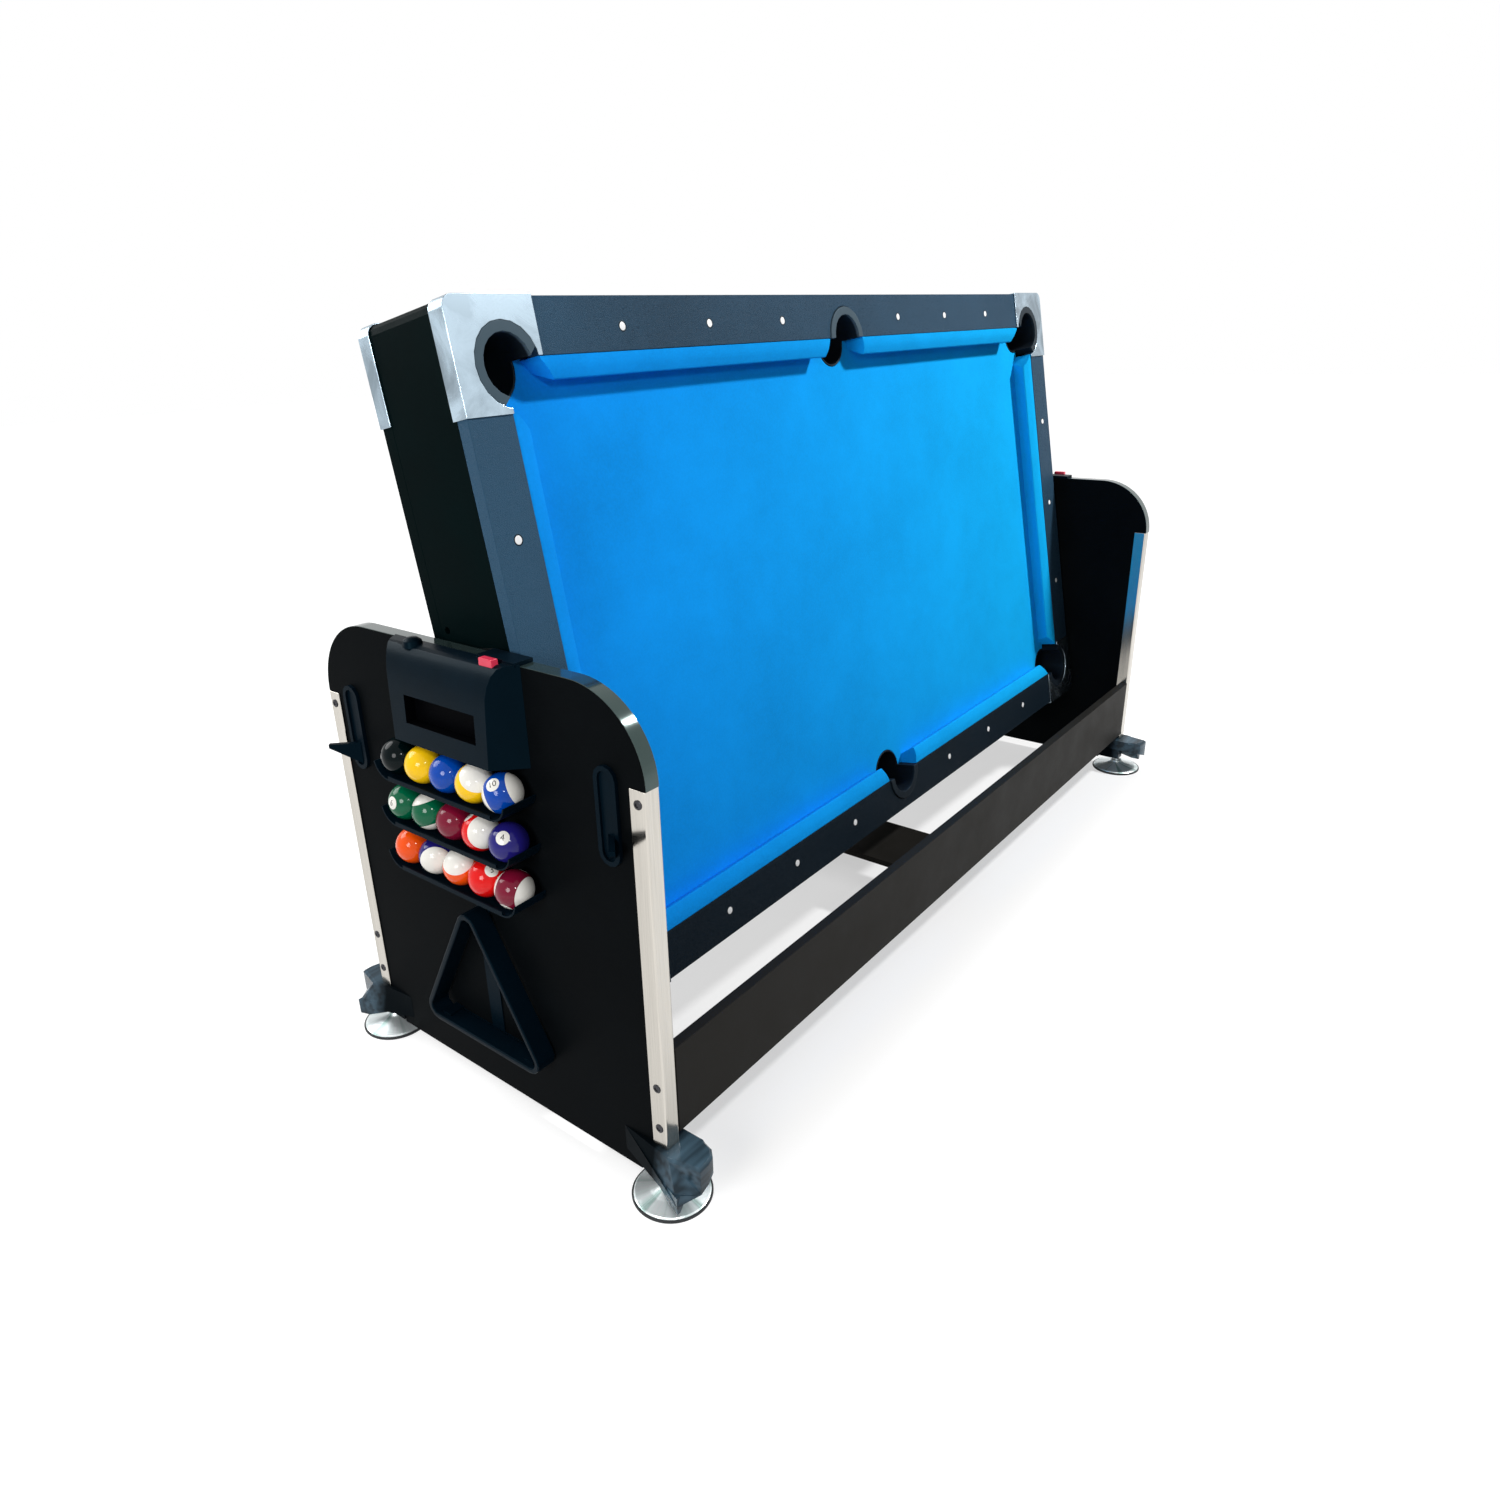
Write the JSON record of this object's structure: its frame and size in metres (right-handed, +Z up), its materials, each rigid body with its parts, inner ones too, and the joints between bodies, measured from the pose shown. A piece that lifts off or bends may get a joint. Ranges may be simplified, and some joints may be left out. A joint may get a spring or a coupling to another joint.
{
  "type": "rotating multi game table",
  "caption": "Pool and air hockey table whose two-faced top turns between end panels on levelling feet; balls, a rack and cue hooks hang on one end.",
  "frame": {"origin": "on the floor, at the centre of the overall box", "axes": "+X along the table towards the end without balls, +Y away from the side that the pool face looks to, +Z up"},
  "size_m": [2.0118, 0.81, 1.2233],
  "materials": {
    "end_panel_left": "black laminated board, low sheen",
    "end_panel_right": "black laminated board, low sheen",
    "edge_extrusion_front_left": "satin anodised extrusion",
    "edge_extrusion_front_right": "satin anodised extrusion",
    "edge_extrusion_rear_left": "satin anodised extrusion",
    "edge_extrusion_rear_right": "satin anodised extrusion",
    "corner_shoe_front_left": "semi-gloss moulded plastic",
    "corner_shoe_front_right": "semi-gloss moulded plastic",
    "corner_shoe_rear_left": "semi-gloss moulded plastic",
    "corner_shoe_rear_right": "semi-gloss moulded plastic",
    "levelling_foot_front_left": "chromed, with a rubber rim",
    "levelling_foot_front_right": "chromed, with a rubber rim",
    "levelling_foot_rear_left": "chromed, with a rubber rim",
    "levelling_foot_rear_right": "chromed, with a rubber rim",
    "front_board": "dark grey laminated board",
    "rear_board": "dark grey laminated board",
    "cross_rail": "black laminated board, low sheen",
    "hub_housing_left": "semi-gloss moulded plastic, with the axle's bush moulded on",
    "hub_housing_right": "semi-gloss moulded plastic, with the axle's bush moulded on",
    "lock_latch_left": "red moulded thumb tab and bolt",
    "lock_latch_right": "red moulded thumb tab and bolt",
    "ball_holder": "black moulded plastic",
    "cue_hook_front": "black moulded plastic",
    "cue_hook_rear": "black moulded plastic",
    "ball_rack": "black moulded plastic",
    "ball_01": "polished resin, solid yellow",
    "ball_02": "polished resin, solid blue",
    "ball_03": "polished resin, solid red",
    "ball_04": "polished resin, solid purple",
    "ball_05": "polished resin, solid orange",
    "ball_06": "polished resin, solid green",
    "ball_07": "polished resin, solid maroon",
    "ball_08": "polished resin, solid black",
    "ball_09": "polished resin, white with a yellow band",
    "ball_10": "polished resin, white with a blue band",
    "ball_11": "polished resin, white with a red band",
    "ball_12": "polished resin, white with a purple band",
    "ball_13": "polished resin, white with an orange band",
    "ball_14": "polished resin, white with a green band",
    "ball_15": "polished resin, white with a maroon band",
    "table_case": "black laminated boards",
    "pool_bed": "bright blue cloth over board and rubber cushions",
    "pool_rails": "slate grey textured vinyl over board",
    "pocket_lower_left": "black rubber-like moulding",
    "pocket_lower_middle": "black rubber-like moulding",
    "pocket_lower_right": "black rubber-like moulding",
    "pocket_upper_left": "black rubber-like moulding",
    "pocket_upper_middle": "black rubber-like moulding",
    "pocket_upper_right": "black rubber-like moulding",
    "corner_caps_lower_left": "satin silver",
    "corner_caps_lower_right": "satin silver",
    "corner_caps_upper_left": "satin silver",
    "corner_caps_upper_right": "satin silver",
    "hockey_bed": "white slick sheet with air holes",
    "hockey_rail_lower": "black rail",
    "hockey_rail_upper": "black rail",
    "hockey_rail_left": "black rail",
    "hockey_rail_right": "black rail",
    "pivot_plate_left": "black painted steel",
    "pivot_plate_right": "black painted steel"
  },
  "bodies": {
    "stand": {"end_panel_left": "end_panel_left", "end_panel_right": "end_panel_right", "edge_extrusion_front_left": "edge_extrusion_front_left", "edge_extrusion_front_right": "edge_extrusion_front_right", "edge_extrusion_rear_left": "edge_extrusion_rear_left", "edge_extrusion_rear_right": "edge_extrusion_rear_right", "corner_shoe_front_left": "corner_shoe_front_left", "corner_shoe_front_right": "corner_shoe_front_right", "corner_shoe_rear_left": "corner_shoe_rear_left", "corner_shoe_rear_right": "corner_shoe_rear_right", "front_board": "front_board", "rear_board": "rear_board", "cross_rail": "cross_rail", "hub_housing_left": "hub_housing_left", "hub_housing_right": "hub_housing_right", "ball_holder": "ball_holder", "cue_hook_front": "cue_hook_front", "cue_hook_rear": "cue_hook_rear"},
    "top": {"table_case": "table_case", "pool_bed": "pool_bed", "pool_rails": "pool_rails", "pocket_lower_left": "pocket_lower_left", "pocket_lower_middle": "pocket_lower_middle", "pocket_lower_right": "pocket_lower_right", "pocket_upper_left": "pocket_upper_left", "pocket_upper_middle": "pocket_upper_middle", "pocket_upper_right": "pocket_upper_right", "corner_caps_lower_left": "corner_caps_lower_left", "corner_caps_lower_right": "corner_caps_lower_right", "corner_caps_upper_left": "corner_caps_upper_left", "corner_caps_upper_right": "corner_caps_upper_right", "hockey_bed": "hockey_bed", "hockey_rail_lower": "hockey_rail_lower", "hockey_rail_upper": "hockey_rail_upper", "hockey_rail_left": "hockey_rail_left", "hockey_rail_right": "hockey_rail_right", "pivot_plate_left": "pivot_plate_left", "pivot_plate_right": "pivot_plate_right"},
    "foot_front_left": {"levelling_foot_front_left": "levelling_foot_front_left"},
    "foot_front_right": {"levelling_foot_front_right": "levelling_foot_front_right"},
    "foot_rear_left": {"levelling_foot_rear_left": "levelling_foot_rear_left"},
    "foot_rear_right": {"levelling_foot_rear_right": "levelling_foot_rear_right"},
    "latch_left": {"lock_latch_left": "lock_latch_left"},
    "latch_right": {"lock_latch_right": "lock_latch_right"},
    "rack": {"ball_rack": "ball_rack"},
    "ball_1": {"ball_01": "ball_01"},
    "ball_2": {"ball_02": "ball_02"},
    "ball_3": {"ball_03": "ball_03"},
    "ball_4": {"ball_04": "ball_04"},
    "ball_5": {"ball_05": "ball_05"},
    "ball_6": {"ball_06": "ball_06"},
    "ball_7": {"ball_07": "ball_07"},
    "ball_8": {"ball_08": "ball_08"},
    "ball_9": {"ball_09": "ball_09"},
    "ball_10": {"ball_10": "ball_10"},
    "ball_11": {"ball_11": "ball_11"},
    "ball_12": {"ball_12": "ball_12"},
    "ball_13": {"ball_13": "ball_13"},
    "ball_14": {"ball_14": "ball_14"},
    "ball_15": {"ball_15": "ball_15"}
  },
  "joints": [
    {"name": "top_rotation", "type": "hinge", "parent": "stand", "child": "top", "pos_m": [0.00565, 0, 0.698], "axis": [1, 0, 0], "range_deg": [-79.8, 100.2]},
    {"name": "foot_front_left_screw", "type": "slide", "parent": "stand", "child": "foot_front_left", "axis": [0, 0, -1], "range_m": [0, 0.012]},
    {"name": "foot_front_right_screw", "type": "slide", "parent": "stand", "child": "foot_front_right", "axis": [0, 0, -1], "range_m": [0, 0.012]},
    {"name": "foot_rear_left_screw", "type": "slide", "parent": "stand", "child": "foot_rear_left", "axis": [0, 0, -1], "range_m": [0, 0.012]},
    {"name": "foot_rear_right_screw", "type": "slide", "parent": "stand", "child": "foot_rear_right", "axis": [0, 0, -1], "range_m": [0, 0.012]},
    {"name": "latch_left_slide", "type": "slide", "parent": "stand", "child": "latch_left", "axis": [1, 0, 0], "range_m": [0, 0.009]},
    {"name": "latch_right_slide", "type": "slide", "parent": "stand", "child": "latch_right", "axis": [-1, 0, 0], "range_m": [0, 0.009]},
    {"name": "rack_pull", "type": "slide", "parent": "stand", "child": "rack", "axis": [-1, 0, 0], "range_m": [0, 0.12]},
    {"name": "ball_1_lift", "type": "slide", "parent": "stand", "child": "ball_1", "axis": [-0.9659, 0, 0.2588], "range_m": [0, 0.12]},
    {"name": "ball_2_lift", "type": "slide", "parent": "stand", "child": "ball_2", "axis": [-0.9659, 0, 0.2588], "range_m": [0, 0.12]},
    {"name": "ball_3_lift", "type": "slide", "parent": "stand", "child": "ball_3", "axis": [-0.9659, 0, 0.2588], "range_m": [0, 0.12]},
    {"name": "ball_4_lift", "type": "slide", "parent": "stand", "child": "ball_4", "axis": [-0.9659, 0, 0.2588], "range_m": [0, 0.12]},
    {"name": "ball_5_lift", "type": "slide", "parent": "stand", "child": "ball_5", "axis": [-0.9659, 0, 0.2588], "range_m": [0, 0.12]},
    {"name": "ball_6_lift", "type": "slide", "parent": "stand", "child": "ball_6", "axis": [-0.9659, 0, 0.2588], "range_m": [0, 0.12]},
    {"name": "ball_7_lift", "type": "slide", "parent": "stand", "child": "ball_7", "axis": [-0.9659, 0, 0.2588], "range_m": [0, 0.12]},
    {"name": "ball_8_lift", "type": "slide", "parent": "stand", "child": "ball_8", "axis": [-0.9659, 0, 0.2588], "range_m": [0, 0.12]},
    {"name": "ball_9_lift", "type": "slide", "parent": "stand", "child": "ball_9", "axis": [-0.9659, 0, 0.2588], "range_m": [0, 0.12]},
    {"name": "ball_10_lift", "type": "slide", "parent": "stand", "child": "ball_10", "axis": [-0.9659, 0, 0.2588], "range_m": [0, 0.12]},
    {"name": "ball_11_lift", "type": "slide", "parent": "stand", "child": "ball_11", "axis": [-0.9659, 0, 0.2588], "range_m": [0, 0.12]},
    {"name": "ball_12_lift", "type": "slide", "parent": "stand", "child": "ball_12", "axis": [-0.9659, 0, 0.2588], "range_m": [0, 0.12]},
    {"name": "ball_13_lift", "type": "slide", "parent": "stand", "child": "ball_13", "axis": [-0.9659, 0, 0.2588], "range_m": [0, 0.12]},
    {"name": "ball_14_lift", "type": "slide", "parent": "stand", "child": "ball_14", "axis": [-0.9659, 0, 0.2588], "range_m": [0, 0.12]},
    {"name": "ball_15_lift", "type": "slide", "parent": "stand", "child": "ball_15", "axis": [-0.9659, 0, 0.2588], "range_m": [0, 0.12]}
  ]
}
